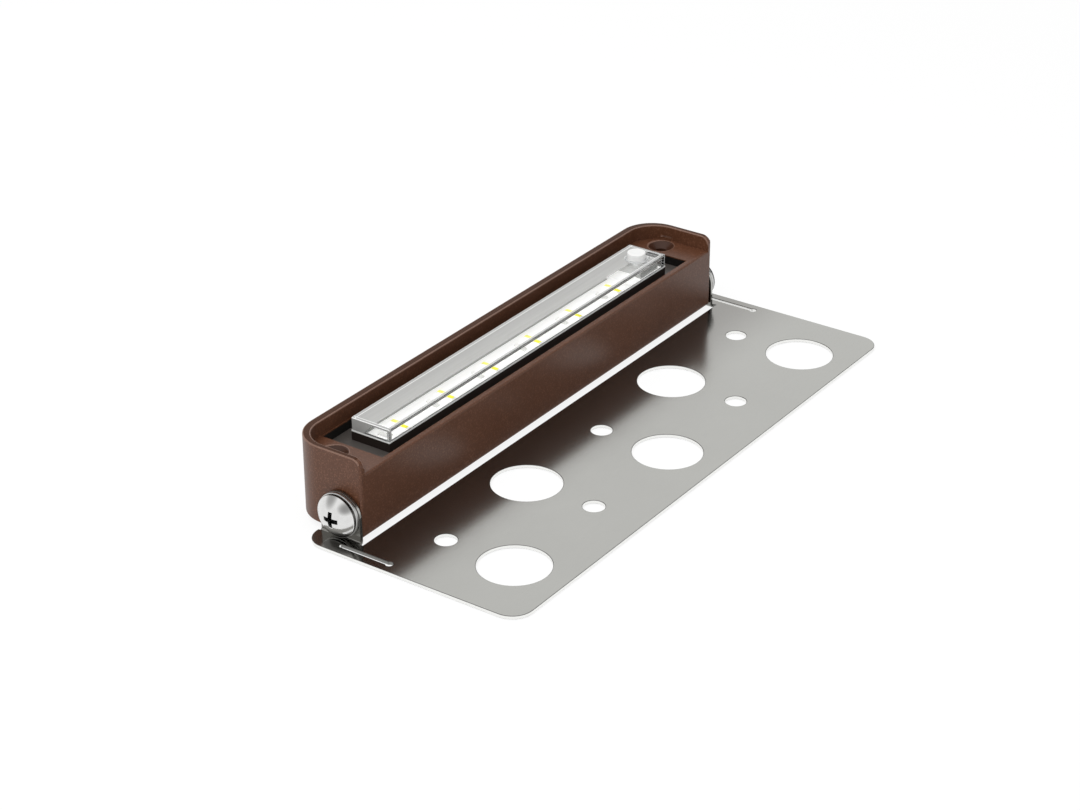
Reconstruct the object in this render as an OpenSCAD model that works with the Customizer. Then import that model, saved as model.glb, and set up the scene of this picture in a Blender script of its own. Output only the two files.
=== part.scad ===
// Hardscape light: a cast lamp head that tilts between the ears of a stainless mounting plate.
// X runs along the light, -Y is the plate's free edge, +Z is up with the plate lying flat.

/* [Mounting plate] */
// Width of each arm beside its ear
arm_w = 6.6; // [6.2:0.1:10]
// Thickness of the plate's sheet
plate_t = 1; // [0.8:0.1:1.3]
// Radius of the plate's front corners
plate_corner_r = 6.2; // [2:0.1:9]
// Distance from the plate's front edge to the notch that the lamp head lies in
web_depth = 54.7; // [54:0.1:60]
// Distance from the front edge to the first row of holes
first_row = 16.4; // [15:0.1:17]
// Distance between the two rows of holes
row_gap = 22.1; // [21:0.1:23]
// Distance between neighbouring holes in a row
hole_pitch = 36.7; // [34:0.1:38]
// Diameter of the large holes that key the adhesive
key_hole_d = 20; // [16:0.5:21]
// Diameter of the small screw holes
screw_hole_d = 6.2; // [4:0.1:8]
// Radius of the rear corner of each arm
arm_end_r = 5.8; // [2:0.1:7]
// Length of each arm behind its ear
arm_tail = 0.6; // [0.2:0.1:3]

/* [Ears] */
// Radius of an ear's round top
ear_r = 6.5; // [5.5:0.1:7]
// Width of an ear at its foot
ear_foot_w = 13.4; // [13:0.1:15]
// Inner radius of the bend between arm and ear
bend_r = 0.5; // [0.3:0.1:0.8]
// Width of the relief slit beside each ear
slit_w = 1.3; // [0.8:0.1:1.8]
// Reach of the slit in front of the notch
slit_reach = 11.4; // [6:0.1:14]
// Reach of the slit along the arm behind the notch's edge
slit_tail = 5.1; // [2:0.1:8]
// Diameter of the round end of the slit
slit_hole_d = 2.1; // [1.9:0.1:2.6]

/* [Housing] */
// Length of the cast housing
housing_len = 172.5; // [170:0.5:175]
// Depth of the housing from its front face to its back
housing_depth = 25; // [24:0.2:30]
// Height of the housing
housing_h = 23.2; // [22:0.1:28]
// Height of the housing's underside above the plate's underside
housing_lift = 1.6; // [0.5:0.1:2.5]
// Gap between the plate's notch and the housing's front face
web_gap = 1.3; // [0.8:0.1:2]
// Radius of the two rear corners
rear_corner_r = 10.5; // [6:0.1:11]
// Radius of the upright front corners
front_corner_r = 0.8; // [0.4:0.1:1.5]
// Radius along the lower front edge
toe_r = 0.8; // [0.6:0.1:2]
// Radius along the upper front edge
lip_r = 0.7; // [0.3:0.1:0.8]
// Height of the rim above the tray floor
rim_h = 4.5; // [3:0.1:6]
// Thickness of the rim at both ends
rim_end_t = 1.7; // [1.2:0.1:2.2]
// Thickness of the rim along the back
rim_back_t = 2.4; // [1.6:0.1:2.6]
// Radius of the rim's upper front corners, seen from the end
rim_nose_r = 3; // [1:0.1:3.5]
// Length of the solid end blocks
end_block = 11.45; // [10.5:0.05:12]
// Thickness of the wall in front of the hollow
front_wall_t = 1.75; // [1.4:0.05:2.5]
// Thickness of the wall behind the hollow
back_wall_t = 2.8; // [2.7:0.1:3.4]
// Thickness of the floor under the hollow
floor_t = 2; // [1.5:0.1:3]
// Distance of the tray holes from the housing's ends
tray_hole_in = 6.45; // [6.1:0.05:6.8]
// Distance of the tray holes behind the front face
tray_hole_y = 14.2; // [13:0.1:16]
// Diameter of the tray holes
tray_hole_d = 4.1; // [3.5:0.1:4.5]
// Diameter of their countersinks
countersink_d = 7.9; // [6.5:0.1:8.4]

/* [Tilt screws] */
// Distance of the tilt axis behind the housing's front face
axis_back = 6.35; // [6:0.05:6.8]
// Height of the tilt axis above the plate's underside
axis_h = 7.8; // [7.7:0.1:8.5]
// Gap between the housing's end and the ear
side_gap = 0.35; // [0.25:0.05:0.6]
// Diameter of the screw head
head_d = 12.4; // [10:0.1:12.8]
// Thickness of the head's straight rim
head_rim_t = 0.8; // [0.4:0.1:1.2]
// Height of the dome on the head
dome_h = 2.6; // [1.8:0.1:3.2]
// Diameter of the screw's thread
thread_d = 5; // [4:0.5:5]
// Diameter of the plain shoulder that turns in the ear
shoulder_d = 5.4; // [5.2:0.1:6]
// Depth of the thread in the housing
thread_depth = 9.5; // [6:0.1:10]
// Length of the slots of the cross recess
cross_len = 4.8; // [3:0.1:6]
// Width of the slots of the cross recess
cross_w = 1.4; // [0.8:0.1:1.6]
// Depth of the cross recess
cross_depth = 1.9; // [1:0.1:2.2]
// Thickness of the washer under the head
head_washer_t = 1; // [0.6:0.1:1.4]
// Diameter of the washer under the head
head_washer_d = 12.9; // [11:0.1:13.2]

/* [Potting and carrier] */
// Depth of the potting's surface below the tray floor
potting_drop = 2.8; // [2:0.1:4]
// Height that the carrier stands above the potting
carrier_stand = 3; // [2:0.1:3.5]
// Depth that the carrier is sunk in the potting
carrier_sink = 4; // [2.5:0.1:4.5]
// Radius of the posts that the carrier is screwed to
post_r = 3; // [2.4:0.1:3.2]
// Gap between the driver board's end and the post
post_gap = 1; // [0.5:0.1:1.5]
// Diameter of the carrier screws
carrier_screw_d = 3; // [2.5:0.1:3.2]
// Depth of the carrier screws in the posts
carrier_screw_depth = 6; // [4:0.1:8]

/* [Lens] */
// Gap between the hollow's end and the lens
lens_end_gap = 7; // [6:0.1:8]
// Depth of the lens from front to back
lens_depth = 12.9; // [12.4:0.1:13.6]
// Height of the lens
lens_h = 3.75; // [3.5:0.05:4.2]
// Gap between the hollow's front wall and the lens
lens_front_gap = 3.2; // [2.5:0.1:3.8]
// Thickness of the lens at its top
lens_top_t = 1.1; // [0.8:0.1:1.3]
// Thickness of the lens at its front
lens_front_t = 1; // [0.8:0.1:1.3]
// Thickness of the lens at both ends
lens_end_t = 1.5; // [1:0.1:2]
// Thickness of the lens along its back
lens_back_t = 2.8; // [2:0.1:3]
// Radius of the lens's upright corners and upper edges
lens_edge_r = 0.4; // [0.4:0.1:0.9]
// Thickness of the gasket under the lens
gasket_t = 0.4; // [0.2:0.1:0.6]

/* [Light engine] */
// Number of light-emitting diodes
led_count = 6; // [2:1:8]
// Distance of the first diode from the lens's end
led_first = 8.8; // [8.4:0.1:9.2]
// Length of a diode across the light
led_len = 5; // [3:0.1:5.4]
// Width of a diode along the light
led_w = 1.6; // [1:0.1:2.5]
// Height of a diode
led_h = 0.6; // [0.4:0.1:1]
// Distance from a diode to its resistor
resistor_gap = 5.8; // [4:0.1:6]
// Length of a resistor across the light
resistor_len = 3.2; // [2:0.1:3.4]
// Width of a resistor along the light
resistor_w = 1.6; // [1:0.1:1.8]
// Height of a resistor
resistor_h = 0.5; // [0.3:0.1:0.7]
// Width of the white board across the light
board_w = 7.1; // [6.6:0.1:7.4]
// Thickness of both small boards
board_t = 0.8; // [0.6:0.1:1]
// Length of the board past the last diode
board_tail = 5.2; // [3:0.1:8]
// Length of the small board under the switch
switch_board_len = 16; // [15:0.1:18]
// Thickness of the reflector strip
reflector_t = 0.5; // [0.4:0.1:0.8]

/* [Push button] */
// Distance of the button's middle from the lens's right end
button_in = 7.6; // [7.3:0.1:8]
// Diameter of the button
button_d = 5.56; // [5:0.02:5.8]
// Height of the button above the lens
button_rise = 2.25; // [1.5:0.05:3]
// Travel of the button
button_travel = 0.5; // [0.3:0.05:0.55]
// Diameter of the clear seal around the button
seal_d = 7; // [6.6:0.1:7.6]
// Height of the seal above the lens
seal_rise = 0.25; // [0.1:0.05:0.5]
// Length of the switch's frame along the light
frame_len = 9.2; // [8.6:0.1:9.4]
// Depth of the switch's frame across the light
frame_depth = 8.2; // [8:0.1:8.4]
// Thickness of the frame's top
frame_top_t = 0.5; // [0.4:0.05:0.6]
// Side of the tact switch's square body
tact_side = 6; // [5:0.1:6.2]
// Height of the tact switch's body
tact_h = 0.9; // [0.7:0.05:1]

/* [Driver] */
// Gap between the driver board's end and the hollow's end
driver_end_gap = 22.3; // [20:0.1:30]
// Depth of the driver board from front to back
driver_depth = 18; // [16:0.1:18.4]
// Thickness of the driver board
driver_t = 1.2; // [0.8:0.1:1.6]
// Height of the driver board above the hollow's floor
driver_lift = 2.5; // [2:0.1:3]
// Diameter of the inductor
inductor_d = 9; // [7:0.1:11]
// Height of the inductor
inductor_h = 5; // [4:0.1:5.4]
// Diameter of the capacitor, which lies along the board
capacitor_d = 5; // [4:0.1:5.4]
// Length of the capacitor
capacitor_len = 11; // [8:0.1:14]
// Side of the rectifier
rectifier_side = 6.5; // [5:0.1:8]
// Height of the rectifier
rectifier_h = 2.5; // [2:0.1:4]
// Length of the driver chip
chip_len = 5; // [4:0.1:7]
// Width of the driver chip
chip_w = 4; // [3:0.1:6]
// Height of the driver chip
chip_h = 1.6; // [1:0.1:2]
// Diameter of the surge absorber's disc
varistor_d = 5; // [4:0.1:5.4]
// Thickness of the surge absorber's disc
varistor_t = 3; // [2:0.1:4]
// Diameter of the lead wires
wire_d = 1.3; // [1:0.1:1.6]

/* [Cable inlet] */
// Gap between the grommet's flange and the hollow's left and back walls
inlet_gap = 1; // [0.5:0.1:1.5]
// Diameter of the hole for the cable
cable_hole_d = 5.2; // [4:0.1:5.6]
// Diameter of the grommet where it passes the floor
grommet_d = 7.4; // [6.8:0.1:8]
// Diameter of the grommet's inner flange
flange_d = 9.6; // [9:0.1:10]
// Thickness of the grommet's inner flange
flange_t = 1.2; // [0.8:0.1:2]
// Height of the grommet's collar above its flange
collar_h = 3; // [1:0.1:5]

/* [Hidden] */
$fn = 64;
// running clearance of parts that turn or slide, and seating gap of parts that are trapped
running = 0.05;
seat = 0.05;
// clearance around what lies in the potting, and of pieces that drop into a pocket
pot_gap = 0.05;
drop_in = 0.1;
board_gap = 1;
// how far a cut runs past the face it opens
past = 1;

// Mounting plate and notch
overall_depth = web_depth + web_gap + housing_depth;
front_y = -overall_depth / 2;
web_y = front_y + web_depth;
row_y = [front_y + first_row, front_y + first_row + row_gap];

// Housing
face_y = web_y + web_gap;
back_y = face_y + housing_depth;
under_z = housing_lift;
rim_z = under_z + housing_h;
tray_z = rim_z - rim_h;
hollow_z = under_z + floor_t;
hollow_half = housing_len / 2 - end_block;
hollow_front = face_y + front_wall_t;
hollow_back = back_y - back_wall_t;
tray_hole_span = housing_len - 2 * tray_hole_in;

// Tilt axis and ears
axis_y = face_y + axis_back;
ear_in = housing_len / 2 + side_gap;
ear_out = ear_in + plate_t;
arm_in = ear_out + bend_r;
plate_len = 2 * (arm_in + arm_w);
arm_out = plate_len / 2;
arm_end_y = axis_y + ear_foot_w / 2 + arm_tail;
slit_x = (arm_in + arm_out) / 2;
head_seat = ear_out + seat + head_washer_t;
shoulder_hole_r = shoulder_d / 2 + running;
thread_hole_r = thread_d / 2 + running;
fold_r = plate_t + bend_r;

// Levels of the light module
potting_z = tray_z - potting_drop;
carrier_top = potting_z + carrier_stand - gasket_t;
carrier_bottom = potting_z - carrier_sink;
lens_z = potting_z + carrier_stand;
lens_top = lens_z + lens_h;
lens_ceiling = lens_top - lens_top_t;
board_z = lens_z - board_t;
board_top = lens_z;

// Plan of the light module
lens_len = 2 * (hollow_half - lens_end_gap);
lens_half = lens_len / 2;
lens_y = hollow_front + lens_front_gap;
lens_back = lens_y + lens_depth;
lens_mid_y = (lens_y + lens_back) / 2;
inside_half = lens_half - lens_end_t;
inside_front = lens_y + lens_front_t;
inside_back = lens_back - lens_back_t;
board_left = -inside_half + drop_in;
switch_board_right = inside_half - drop_in;
switch_board_left = switch_board_right - switch_board_len;
board_right = switch_board_left - board_gap;
board_front = inside_front + drop_in;
board_back = board_front + board_w;
led_y = board_front + drop_in + led_len / 2;
led_start = -lens_half + led_first;
led_pitch = (board_right - board_tail - led_start) / (led_count - 1);
led_x = [for (i = [0 : led_count - 1]) led_start + i * led_pitch];

// Push button
button_x = lens_half - button_in;
button_y = inside_front + (inside_back - inside_front) / 2;
button_top = lens_top + button_rise;
frame_top = lens_ceiling - seat;
frame_ceiling = frame_top - frame_top_t;
stem_r = button_d / 2;
stem_hole_r = stem_r + running;
flange_r = stem_r + 0.3;
flange_top = frame_ceiling - seat;
flange_bottom = board_top + tact_h + button_travel + seat;
frame_bore_r = flange_r + running;

// Driver
driver_z = hollow_z + driver_lift;
driver_top = driver_z + driver_t;
driver_y = (hollow_front + hollow_back) / 2;
driver_len = 2 * (hollow_half - driver_end_gap);
post_x = driver_len / 2 + post_gap + post_r;
inlet_x = hollow_half - inlet_gap - flange_d / 2;
inlet_y = hollow_back - inlet_gap - flange_d / 2;
inlet = [-inlet_x, inlet_y];
led_wire_x = -driver_len / 2 + 1.6;
switch_wire_x = driver_len / 2 - 0.9;
wire_dy = 1.6;
inductor_x = -22;
capacitor_x = 2;
rectifier_x = -38;
chip_x = 20;
varistor_x = 34;

// A box between two corners
module box(low, high) {
    translate(low) cube(high - low);
}

// A bar along X, of square section r, less the cylinder that rounds a convex edge.
// The edge lies at the origin and the solid at dy, dz from it.
module edge_round(r, len, dy, dz) {
    difference() {
        translate([-len / 2, dy > 0 ? -past : -r, dz > 0 ? -past : -r]) cube([len, r + past, r + past]);
        translate([-len / 2 - past, dy * r, dz * r])
            rotate([0, 90, 0]) cylinder(r = r, h = len + 2 * past);
    }
}

// A cylinder whose axis runs along X from x0 to x1
module bar_x(x0, x1, r) {
    translate([x0, 0, 0]) rotate([0, 90, 0]) cylinder(r = r, h = x1 - x0);
}

// Mounting plate

// The web in front of the notch, with its two round front corners
module web_outline() {
    r = plate_corner_r;
    translate([-arm_out + r, front_y]) square([2 * (arm_out - r), web_depth]);
    translate([-arm_out, front_y + r]) square([2 * arm_out, web_depth - r]);
    for (side = [-1, 1]) translate([side * (arm_out - r), front_y + r]) circle(r);
}

// One arm beside the notch, with its round rear corner, on the +X side
module arm_outline() {
    r = min(arm_end_r, arm_w - 0.2);
    len = arm_end_y - web_y;
    translate([arm_in, web_y - past]) square([arm_w - r, len + past]);
    translate([arm_in, web_y - past]) square([arm_w, len + past - r]);
    translate([arm_out - r, arm_end_y - r]) intersection() {
        circle(r);
        square(r);
    }
}

// The large and small holes, which change places from row to row
module hole_pattern() {
    for (row = [0, 1], column = [-2 : 2]) {
        big = (column + row) % 2 == 0;
        translate([column * hole_pitch, row_y[row]]) circle(d = big ? key_hole_d : screw_hole_d);
    }
}

// The slit beside an ear, from its round end in the web to the arm
module relief_slit() {
    translate([slit_x, web_y - slit_reach]) circle(d = slit_hole_d);
    translate([slit_x - slit_w / 2, web_y - slit_reach]) square([slit_w, slit_reach + slit_tail - slit_w / 2]);
    translate([slit_x, web_y + slit_tail - slit_w / 2]) circle(d = slit_w);
}

// An ear on the +X side: a tab with a round top, folded up from the arm
module ear() {
    foot = ear_foot_w / 2;
    difference() {
        union() {
            translate([ear_in, 0, 0]) rotate([90, 0, 90]) linear_extrude(plate_t) {
                translate([axis_y, axis_h]) circle(ear_r);
                polygon([
                    [axis_y - foot, 0], [axis_y + foot, 0], [axis_y + foot, fold_r],
                    [axis_y + ear_r, axis_h], [axis_y - ear_r, axis_h], [axis_y - foot, fold_r]
                ]);
            }
            box([ear_in, axis_y - foot, 0], [arm_in + past / 2, axis_y + foot, plate_t]);
            difference() {
                box([ear_out - plate_t / 2, axis_y - foot, plate_t / 2], [arm_in, axis_y + foot, fold_r]);
                translate([arm_in, axis_y, fold_r]) rotate([90, 0, 0])
                    cylinder(r = bend_r, h = ear_foot_w + 2 * past, center = true);
            }
        }
        translate([ear_in, axis_y, 0]) rotate([0, 0, -90]) edge_round(fold_r, ear_foot_w + 2 * past, 1, 1);
        translate([0, axis_y, axis_h]) bar_x(ear_in - past, ear_out + past, shoulder_hole_r);
    }
}

module mounting_plate() {
    color([0.72, 0.73, 0.71]) {
        linear_extrude(plate_t) difference() {
            union() {
                web_outline();
                for (side = [0, 1]) mirror([side, 0]) arm_outline();
            }
            hole_pattern();
            for (side = [0, 1]) mirror([side, 0]) relief_slit();
        }
        for (side = [0, 1]) mirror([side, 0, 0]) ear();
    }
}

// Housing

// A plan with round rear corners, from y0 at the front to y1 at the back
module round_back(half, y0, y1, r) {
    translate([-half, y0]) square([2 * half, y1 - y0 - r]);
    translate([-half + r, y1 - 2 * r]) square([2 * (half - r), 2 * r]);
    for (side = [-1, 1]) translate([side * (half - r), y1 - r]) circle(r);
}

// Plan of the housing: the front corners are nearly sharp, the rear ones wide
module housing_plan() {
    half = housing_len / 2;
    r = front_corner_r;
    round_back(half, face_y + r, back_y, rear_corner_r);
    translate([-half + r, face_y]) square([2 * (half - r), 2 * r]);
    for (side = [-1, 1]) translate([side * (half - r), face_y + r]) circle(r);
}

// The space inside the rim, open towards the front
module tray_space() {
    translate([0, 0, tray_z]) linear_extrude(rim_h + past)
        round_back(housing_len / 2 - rim_end_t, face_y - past, back_y - rim_back_t, rear_corner_r - rim_end_t);
}

// Rounds the upper front corner of both end rims
module rim_noses() {
    translate([0, face_y, rim_z]) edge_round(rim_nose_r, housing_len + 2 * past, 1, -1);
}

// The hollow that holds the driver and the potting
module hollow() {
    box([-hollow_half, hollow_front, hollow_z], [hollow_half, hollow_back, tray_z + past]);
}

// A through hole with a countersink in each end block
module tray_holes() {
    sink = (countersink_d - tray_hole_d) / 2;
    for (side = [-1, 1]) translate([side * tray_hole_span / 2, face_y + tray_hole_y, 0]) {
        translate([0, 0, under_z - past]) cylinder(d = tray_hole_d, h = housing_h);
        translate([0, 0, tray_z - sink]) cylinder(d1 = tray_hole_d, d2 = countersink_d + 2 * past, h = sink + past);
    }
}

module carrier_posts() {
    for (side = [-1, 1]) translate([side * post_x, lens_mid_y, hollow_z - 0.5])
        cylinder(r = post_r, h = carrier_bottom - hollow_z + 0.5);
}

module housing() {
    color([0.27, 0.17, 0.13]) difference() {
        union() {
            difference() {
                translate([0, 0, under_z]) linear_extrude(housing_h) housing_plan();
                tray_space();
                hollow();
            }
            carrier_posts();
        }
        rim_noses();
        translate([0, face_y, under_z]) edge_round(toe_r, housing_len + 2 * past, 1, 1);
        translate([0, face_y, tray_z]) edge_round(lip_r, 2 * (housing_len / 2 - rim_end_t), 1, -1);
        tray_holes();
        for (side = [-1, 1]) translate([0, axis_y, axis_h]) mirror([side < 0 ? 1 : 0, 0, 0])
            bar_x(housing_len / 2 - thread_depth - 0.5, housing_len / 2 + past, thread_hole_r);
        for (side = [-1, 1]) translate([side * post_x, lens_mid_y, carrier_bottom - carrier_screw_depth - 0.5])
            cylinder(d = carrier_screw_d + 2 * running, h = carrier_screw_depth + 0.5 + past);
        translate([inlet[0], inlet[1], under_z - past]) cylinder(d = grommet_d + 2 * seat, h = floor_t + 2 * past);
    }
}

// Tilt screws and washers, all drawn on the +X side

module pivot_screw() {
    dome_foot = head_d / 2 - 0.2;
    dome_r = (pow(dome_foot, 2) + pow(dome_h, 2)) / (2 * dome_h);
    rim_x = head_seat + head_rim_t;
    crown = rim_x + dome_h;
    color([0.86, 0.86, 0.84]) translate([0, axis_y, axis_h]) difference() {
        union() {
            bar_x(housing_len / 2 - thread_depth, ear_in, thread_d / 2);
            bar_x(housing_len / 2, rim_x, shoulder_d / 2);
            bar_x(head_seat, rim_x, head_d / 2);
            rotate([0, 90, 0]) rotate_extrude() intersection() {
                translate([0, crown - dome_r]) circle(dome_r);
                translate([0, rim_x]) square([head_d / 2, dome_h + past]);
            }
        }
        for (turn = [0, 90]) rotate([turn, 0, 0])
            box([crown - cross_depth, -cross_len / 2, -cross_w / 2], [crown + past, cross_len / 2, cross_w / 2]);
    }
}

module head_washer() {
    color([0.55, 0.56, 0.55]) translate([0, axis_y, axis_h]) difference() {
        bar_x(ear_out + seat, head_seat, head_washer_d / 2);
        bar_x(ear_out, head_seat + past, shoulder_hole_r);
    }
}

// The thin plastic washer that the housing's end turns against
module side_washer() {
    color([0.12, 0.12, 0.12]) translate([0, axis_y, axis_h]) difference() {
        bar_x(housing_len / 2, ear_in - seat, ear_r - 0.5);
        bar_x(housing_len / 2 - past, ear_in + past, shoulder_hole_r);
    }
}

module pivot_screw_left() {
    mirror([1, 0, 0]) pivot_screw();
}

module pivot_screw_right() {
    pivot_screw();
}

module head_washer_left() {
    mirror([1, 0, 0]) head_washer();
}

module head_washer_right() {
    head_washer();
}

module side_washer_left() {
    mirror([1, 0, 0]) side_washer();
}

module side_washer_right() {
    side_washer();
}

// Light module

// The wire runs from the driver board up to a small board, made thicker by grow
module wire_runs(grow) {
    for (x = [led_wire_x, switch_wire_x], dy = [-wire_dy, wire_dy])
        translate([x, lens_mid_y + dy, driver_top - grow])
            cylinder(d = wire_d + 2 * grow, h = board_z - driver_top + 2 * grow);
}

// The potting fills the hollow round everything that lies in it
module potting() {
    color([0.16, 0.16, 0.15]) difference() {
        box([-hollow_half + seat, hollow_front + seat, hollow_z + seat],
            [hollow_half - seat, hollow_back - seat, potting_z]);
        box([-lens_half - pot_gap, lens_y - pot_gap, carrier_bottom - pot_gap],
            [lens_half + pot_gap, lens_back + pot_gap, potting_z + past]);
        for (side = [-1, 1]) translate([side * post_x, lens_mid_y, hollow_z - past])
            cylinder(r = post_r + pot_gap, h = carrier_bottom - hollow_z + past + 0.01);
        box([-driver_len / 2 - pot_gap, driver_y - driver_depth / 2 - pot_gap, driver_z - pot_gap],
            [driver_len / 2 + pot_gap, driver_y + driver_depth / 2 + pot_gap, driver_top + pot_gap]);
        driver_parts(pot_gap);
        wire_runs(pot_gap);
        translate([inlet[0], inlet[1], hollow_z]) {
            cylinder(d = flange_d + 2 * pot_gap, h = flange_t + pot_gap);
            cylinder(d = grommet_d + 2 * pot_gap, h = flange_t + collar_h + pot_gap);
        }
    }
}

module lens_carrier() {
    color([0.05, 0.05, 0.05]) difference() {
        box([-lens_half, lens_y, carrier_bottom], [lens_half, lens_back, carrier_top]);
        box([board_left - drop_in, board_front - drop_in, board_z],
            [switch_board_right + drop_in, inside_back, carrier_top + past]);
        for (side = [-1, 1]) translate([side * post_x, lens_mid_y, 0]) {
            translate([0, 0, carrier_bottom - past]) cylinder(d = carrier_screw_d + 0.4, h = carrier_stand + carrier_sink + past);
            translate([0, 0, board_z - carrier_screw_d]) cylinder(d = 2 * carrier_screw_d + 0.4, h = carrier_screw_d + past);
        }
        for (x = [led_wire_x, switch_wire_x], dy = [-wire_dy, wire_dy])
            translate([x, lens_mid_y + dy, carrier_bottom - past])
                cylinder(d = wire_d + 0.4, h = carrier_stand + carrier_sink + past);
    }
}

module carrier_screws() {
    seat_z = board_z - carrier_screw_d;
    color([0.75, 0.75, 0.74]) for (side = [-1, 1]) translate([side * post_x, lens_mid_y, 0]) difference() {
        union() {
            translate([0, 0, carrier_bottom - carrier_screw_depth])
                cylinder(d = carrier_screw_d, h = seat_z - carrier_bottom + carrier_screw_depth + 0.01);
            translate([0, 0, seat_z]) cylinder(d = 2 * carrier_screw_d, h = 0.7 * carrier_screw_d);
        }
        for (turn = [0, 90]) translate([0, 0, seat_z + 0.7 * carrier_screw_d]) rotate([0, 0, turn])
            cube([carrier_screw_d, 0.5, 1.6], center = true);
    }
}

// The gasket follows the walls of the lens
module lens_gasket() {
    color([0.08, 0.08, 0.08]) difference() {
        box([-lens_half, lens_y, carrier_top], [lens_half, lens_back, lens_z]);
        box([-inside_half, inside_front, carrier_top - past], [inside_half, inside_back, lens_z + past]);
    }
}

// Plan of the lens with its four corners rounded
module lens_plan() {
    r = lens_edge_r;
    translate([-lens_half + r, lens_y]) square([2 * (lens_half - r), lens_depth]);
    translate([-lens_half, lens_y + r]) square([2 * lens_half, lens_depth - 2 * r]);
    for (side = [-1, 1], y = [lens_y + r, lens_back - r]) translate([side * (lens_half - r), y]) circle(r);
}

module lens() {
    color([0.85, 0.88, 0.88, 0.4]) difference() {
        translate([0, 0, lens_z]) linear_extrude(lens_h) lens_plan();
        box([-inside_half, inside_front, lens_z - past], [inside_half, inside_back, lens_ceiling]);
        translate([0, lens_y, lens_top]) edge_round(lens_edge_r, 2 * (lens_half + past), 1, -1);
        translate([button_x, button_y, lens_ceiling - past]) cylinder(d = seal_d + 2 * seat, h = lens_top_t + 2 * past);
    }
}

module led_board() {
    color([0.95, 0.95, 0.94]) box([board_left, board_front, board_z], [board_right, board_back, board_top]);
}

module leds() {
    color([0.93, 0.9, 0.35]) for (x = led_x)
        box([x - led_w / 2, led_y - led_len / 2, board_top], [x + led_w / 2, led_y + led_len / 2, board_top + led_h]);
}

module led_resistors() {
    color([0.8, 0.8, 0.79]) for (x = led_x)
        box([x - resistor_gap - resistor_w / 2, led_y - resistor_len / 2, board_top],
            [x - resistor_gap + resistor_w / 2, led_y + resistor_len / 2, board_top + resistor_h]);
}

// A strip folded to an L behind the white board: its foot lies beside the board
module reflector() {
    foot = board_back + drop_in;
    wall = inside_back - drop_in;
    end = button_x - frame_len / 2 - 0.3;
    color([0.72, 0.73, 0.72]) {
        box([board_left, foot, board_z], [board_right, wall, board_z + reflector_t]);
        box([board_left, wall - reflector_t, board_z], [board_right, wall, lens_ceiling - seat]);
    }
}

module switch_board() {
    color([0.62, 0.64, 0.62]) box([switch_board_left, board_front, board_z],
        [switch_board_right, inside_back - drop_in, board_top]);
}

// The square frame that guides the button and holds its flange
module switch_frame() {
    color([0.78, 0.79, 0.78]) difference() {
        box([button_x - frame_len / 2, button_y - frame_depth / 2, board_top],
            [button_x + frame_len / 2, button_y + frame_depth / 2, frame_top]);
        box([button_x - tact_side / 2 - seat, button_y - tact_side / 2 - seat, board_top - past],
            [button_x + tact_side / 2 + seat, button_y + tact_side / 2 + seat, board_top + tact_h + seat]);
        translate([button_x, button_y, board_top]) cylinder(r = frame_bore_r, h = frame_ceiling - board_top);
        translate([button_x, button_y, board_top]) cylinder(r = stem_hole_r, h = lens_h);
    }
}

module tact_switch() {
    color([0.2, 0.2, 0.2]) box([button_x - tact_side / 2, button_y - tact_side / 2, board_top],
        [button_x + tact_side / 2, button_y + tact_side / 2, board_top + tact_h]);
}

module push_button() {
    color([0.96, 0.96, 0.95]) translate([button_x, button_y, 0]) {
        translate([0, 0, flange_bottom]) cylinder(r = flange_r, h = flange_top - flange_bottom);
        translate([0, 0, flange_bottom]) cylinder(r = stem_r, h = button_top - flange_bottom);
    }
}

module button_seal() {
    color([0.8, 0.82, 0.82, 0.6]) translate([button_x, button_y, lens_ceiling]) difference() {
        cylinder(d = seal_d, h = lens_top_t + seal_rise);
        translate([0, 0, -past]) cylinder(r = stem_hole_r, h = lens_top_t + seal_rise + 2 * past);
    }
}

// Driver, all of it inside the potting

module driver_board() {
    color([0.1, 0.35, 0.2]) box([-driver_len / 2, driver_y - driver_depth / 2, driver_z],
        [driver_len / 2, driver_y + driver_depth / 2, driver_top]);
}

module inductor_shape(grow) {
    translate([inductor_x, driver_y, driver_top]) cylinder(d = inductor_d + 2 * grow, h = inductor_h + grow);
}

module capacitor_shape(grow) {
    translate([capacitor_x, driver_y, driver_top + capacitor_d / 2])
        bar_x(-capacitor_len / 2 - grow, capacitor_len / 2 + grow, capacitor_d / 2 + grow);
}

// A box that stands on the driver board at x
module on_board(x, len, depth, h, grow) {
    box([x - len / 2 - grow, driver_y - depth / 2 - grow, driver_top],
        [x + len / 2 + grow, driver_y + depth / 2 + grow, driver_top + h + grow]);
}

module varistor_shape(grow) {
    translate([varistor_x, driver_y, driver_top + varistor_d / 2]) rotate([90, 0, 0])
        cylinder(d = varistor_d + 2 * grow, h = varistor_t + 2 * grow, center = true);
}

module driver_parts(grow) {
    inductor_shape(grow);
    capacitor_shape(grow);
    on_board(rectifier_x, rectifier_side, rectifier_side, rectifier_h, grow);
    on_board(chip_x, chip_len, chip_w, chip_h, grow);
    varistor_shape(grow);
}

module inductor() {
    color([0.3, 0.3, 0.3]) inductor_shape(0);
}

module capacitor() {
    color([0.15, 0.15, 0.3]) capacitor_shape(0);
}

module rectifier() {
    color([0.1, 0.1, 0.1]) on_board(rectifier_x, rectifier_side, rectifier_side, rectifier_h, 0);
}

module driver_chip() {
    color([0.1, 0.1, 0.1]) on_board(chip_x, chip_len, chip_w, chip_h, 0);
}

module surge_absorber() {
    color([0.2, 0.3, 0.7]) varistor_shape(0);
}

module lead_wires() {
    color([0.7, 0.1, 0.1]) wire_runs(0);
}

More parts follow.
